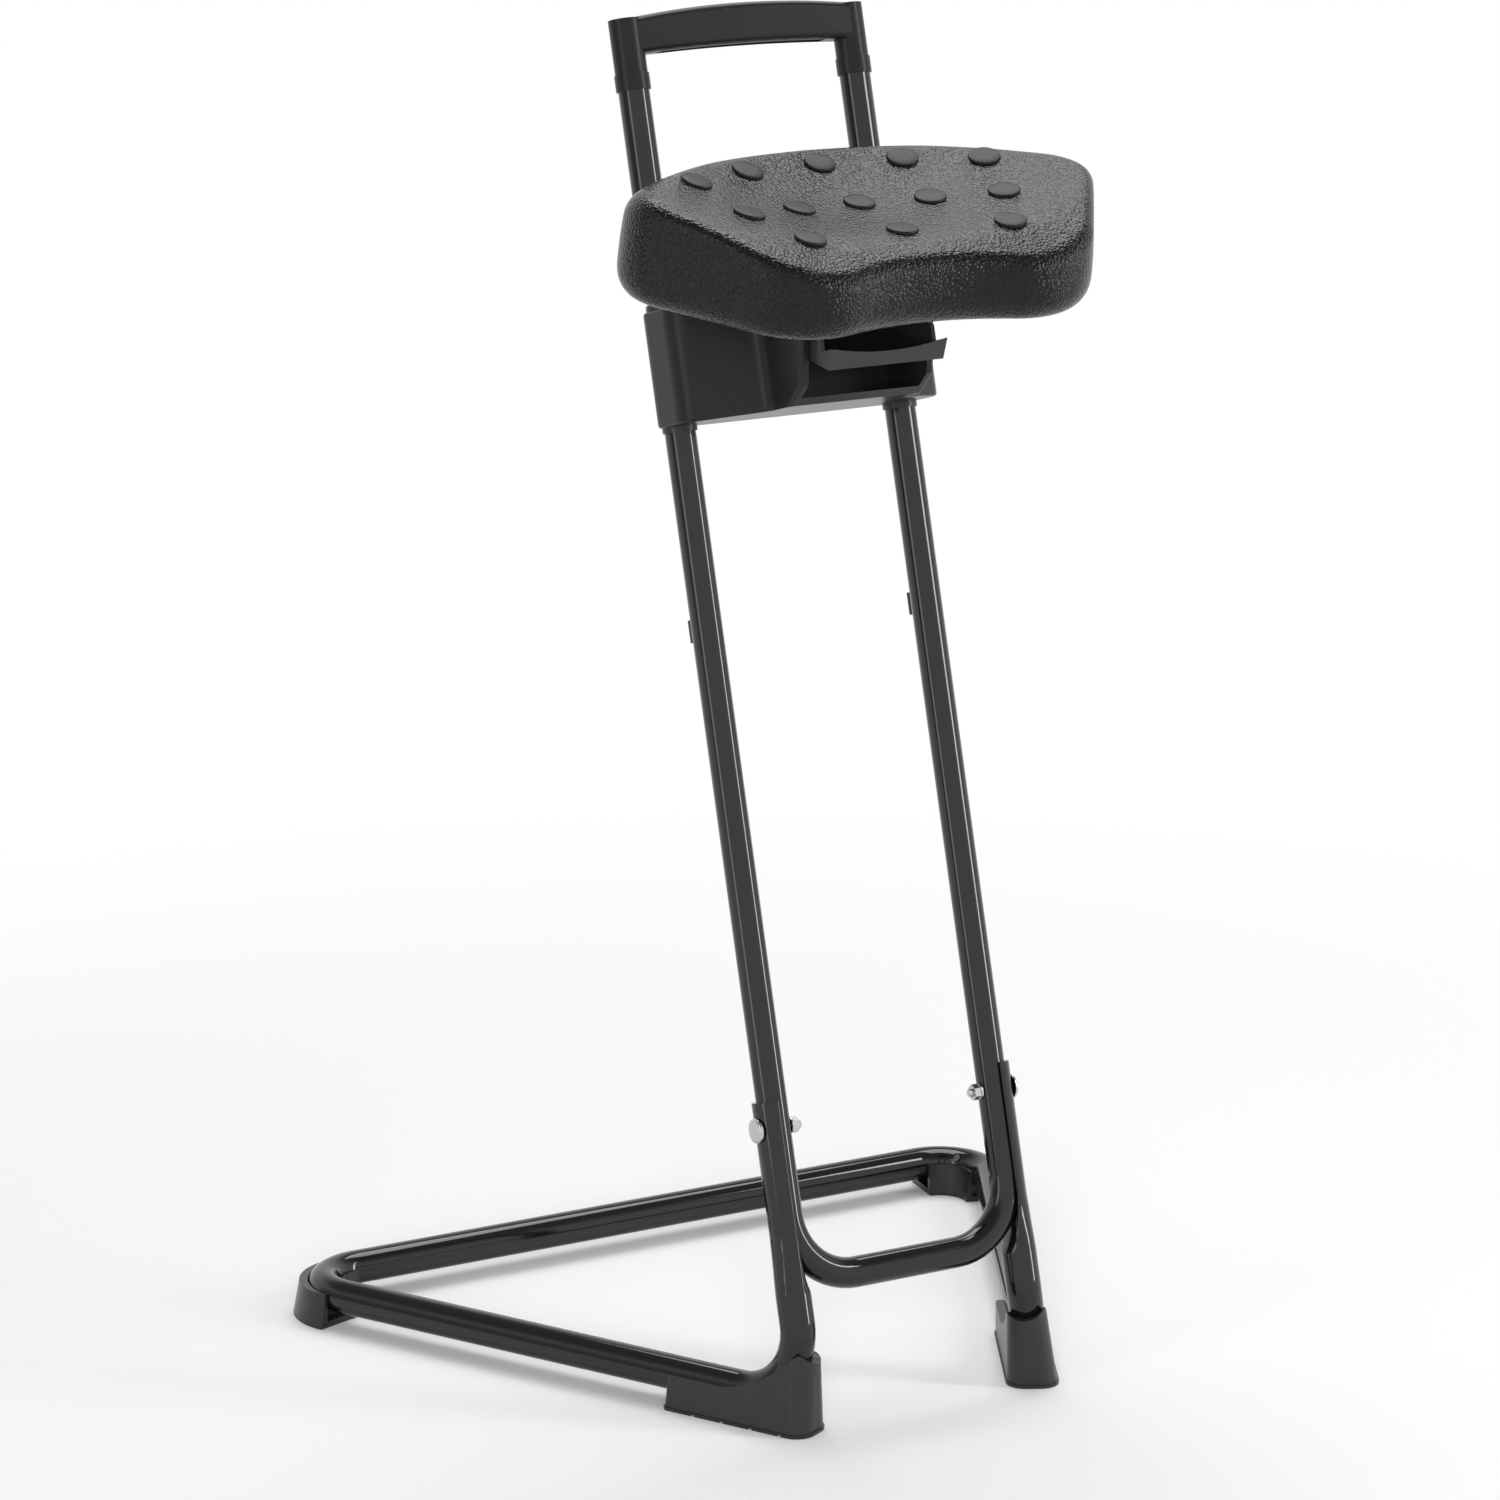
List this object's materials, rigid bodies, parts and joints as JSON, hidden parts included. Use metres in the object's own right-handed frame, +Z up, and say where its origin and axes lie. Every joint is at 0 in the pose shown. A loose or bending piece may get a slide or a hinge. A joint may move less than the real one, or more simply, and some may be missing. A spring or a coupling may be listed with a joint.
{
  "type": "leaning stool",
  "caption": "Height-adjustable leaning stool: bent tube base, leaning U-shaped column, sliding carriage with a dished saddle-like foam seat, release lever and top carry handle.",
  "frame": {"origin": "on the floor under the middle of the part's bounding box", "axes": "+Z up, +X to the right of the person leaning on the seat's front as seen from the front, -Y the front that the person's legs face"},
  "size_m": [0.6068, 0.449, 0.9597],
  "materials": {
    "black_paint": "semi-gloss black powder coat",
    "black_plastic": "satin black moulded plastic",
    "black_rubber": "matt black rubber",
    "seat_skin": "grained skin of moulded foam",
    "zinc_steel": "bright zinc plate",
    "spring_steel": "plain steel",
    "bush_plastic": "smooth sliding plastic"
  },
  "bodies": {
    "frame": {"base_frame": "black_paint", "front_foot_left": "black_rubber", "front_foot_right": "black_rubber", "rear_foot_left": "black_rubber", "rear_foot_right": "black_rubber", "rear_foot_screws": "zinc_steel", "column_tube": "black_paint", "frame_bolts": "zinc_steel", "frame_washers": "zinc_steel", "frame_nuts": "zinc_steel", "travel_stop_left": "black_plastic", "travel_stop_right": "black_plastic", "stop_screws": "zinc_steel", "carry_handle": "black_plastic", "handle_screws": "zinc_steel"},
    "carriage": {"carriage_housing": "black_plastic", "carriage_cover": "black_plastic", "cover_screws": "zinc_steel", "upper_bush_left": "bush_plastic", "upper_bush_right": "bush_plastic", "lower_bush_left": "bush_plastic", "lower_bush_right": "bush_plastic", "lever_pin": "spring_steel", "seat_plate": "spring_steel", "seat_bolts": "zinc_steel", "seat": "seat_skin"},
    "lever": {"release_lever": "black_plastic"},
    "brake": {"brake_bar": "spring_steel", "brake_spring_left": "spring_steel", "brake_spring_right": "spring_steel"}
  },
  "joints": [
    {"name": "seat_height", "type": "slide", "parent": "frame", "child": "carriage", "axis": [0, 0.2723, 0.9622], "range_m": [-0.129, 0.148]},
    {"name": "brake_slide", "type": "slide", "parent": "carriage", "child": "brake", "axis": [0, -0.9622, 0.2723], "range_m": [0, 0.0017], "stiffness_N_per_m": 2500, "springref_m": -0.003},
    {"name": "release_lever", "type": "hinge", "parent": "carriage", "child": "lever", "pos_m": [0, -0.08087, 0.74874], "axis": [-1, 0, 0], "range_deg": [0, 12]}
  ],
  "couplings": [
    {"joint": "release_lever", "follows": "brake_slide", "rad_per_m": 123}
  ]
}
